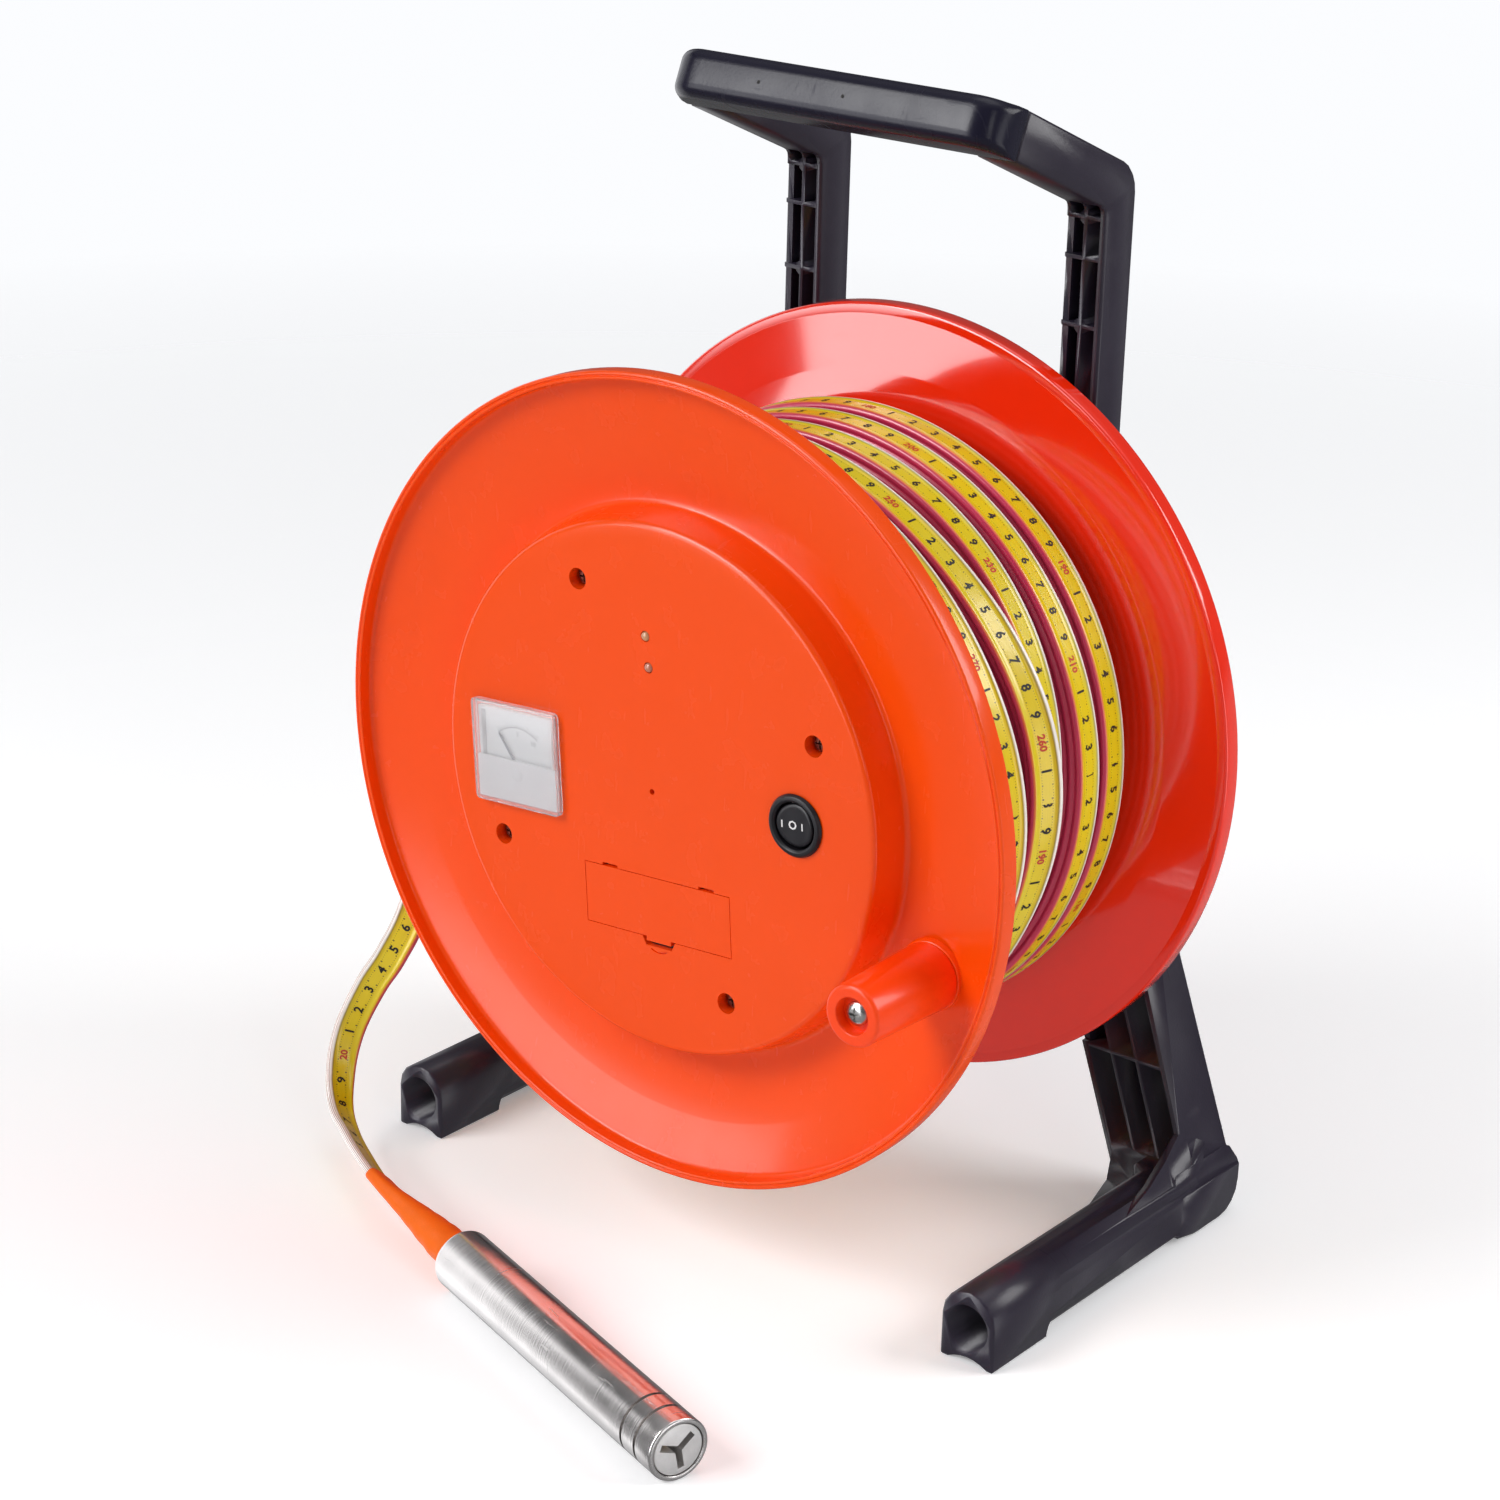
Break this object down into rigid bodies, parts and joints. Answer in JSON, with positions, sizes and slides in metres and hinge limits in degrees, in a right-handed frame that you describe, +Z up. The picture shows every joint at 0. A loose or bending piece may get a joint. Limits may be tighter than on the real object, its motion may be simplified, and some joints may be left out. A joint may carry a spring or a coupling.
{
  "type": "water level meter",
  "caption": "Hand-wound reel of flat measuring tape on a carrying stand, with a steel probe on the tape's end and a meter, switch and battery hatch in its front flange.",
  "frame": {"origin": "on the floor under the middle of the reel's axle, half way between the crank knob's end and the axle's tail", "axes": "+Z up, +X to the right as seen from the instrument side, +Y from the instrument side to the stand's back"},
  "size_m": [0.301, 0.3081, 0.4257],
  "materials": {
    "flange_orange": "glossy orange-red moulding",
    "knob_orange": "glossy orange moulding",
    "stand_black": "satin black moulding",
    "drum_grey": "dark grey moulding",
    "tape_yellow": "yellow plastic tape",
    "steel": "turned steel",
    "probe_steel": "turned stainless steel",
    "bush_bronze": "plain bearing metal",
    "clear_cover": "clear moulded cover",
    "dial_white": "white dial",
    "switch_black": "satin black moulding",
    "board_green": "printed circuit board",
    "battery_case": "dark battery jacket",
    "sleeve_orange": "shrunk rubber sleeve",
    "insulator_white": "white insulating plastic",
    "lamp_lens": "coloured lamp lens"
  },
  "bodies": {
    "stand": {"left_side_frame": "stand_black", "right_side_frame": "stand_black", "grip_bar": "stand_black", "hub_crossbar": "stand_black", "hub_screw_1": "steel", "hub_screw_2": "steel", "hub_screw_3": "steel", "hub_screw_4": "steel", "axle": "steel", "axle_clip": "steel", "axle_washer": "steel", "axle_nut": "steel", "tape_end": "tape_yellow", "probe_sleeve": "sleeve_orange", "probe_tube": "probe_steel", "probe_tip": "probe_steel", "probe_insulator": "insulator_white", "probe_electrode": "bush_bronze"},
    "reel": {"front_flange": "flange_orange", "drum_core": "drum_grey", "rear_flange": "flange_orange", "wound_tape": "tape_yellow", "front_bush": "bush_bronze", "rear_bush": "bush_bronze", "cover_screw_1": "steel", "cover_screw_2": "steel", "cover_screw_3": "steel", "cover_screw_4": "steel", "rear_screw_1": "steel", "rear_screw_2": "steel", "rear_screw_3": "steel", "rear_screw_4": "steel", "meter_window": "clear_cover", "meter_case": "switch_black", "meter_dial": "dial_white", "switch_body": "switch_black", "battery_box": "switch_black", "battery": "battery_case", "circuit_board": "board_green", "lamp_power": "lamp_lens", "lamp_contact": "lamp_lens", "buzzer": "switch_black", "crank_bolt": "steel", "crank_nut": "steel"},
    "knob": {"crank_knob": "knob_orange"},
    "rocker": {"switch_rocker": "switch_black"},
    "door": {"battery_door": "flange_orange"},
    "needle": {"meter_needle": "switch_black"}
  },
  "joints": [
    {"name": "reel_spin", "type": "hinge", "parent": "stand", "child": "reel", "pos_m": [0, 0, 0.1854], "axis": [0, 1, 0], "continuous": true},
    {"name": "knob_spin", "type": "hinge", "parent": "reel", "child": "knob", "pos_m": [0.11516, -0.09, 0.14731], "axis": [0, 1, 0], "continuous": true},
    {"name": "rocker_tilt", "type": "hinge", "parent": "reel", "child": "rocker", "pos_m": [0.064, -0.07995, 0.1905], "axis": [-0.0732, 0, 0.9973], "range_deg": [-10, 10]},
    {"name": "door_hinge", "type": "hinge", "parent": "reel", "child": "door", "pos_m": [0.00238, -0.07995, 0.15299], "axis": [-0.9973, 0, -0.0732], "range_deg": [0, 75]},
    {"name": "needle_swing", "type": "hinge", "parent": "reel", "child": "needle", "pos_m": [-0.06231, -0.0795, 0.17782], "axis": [0, 1, 0], "range_deg": [0, 72], "stiffness_Nm_per_rad": 0.000005}
  ]
}
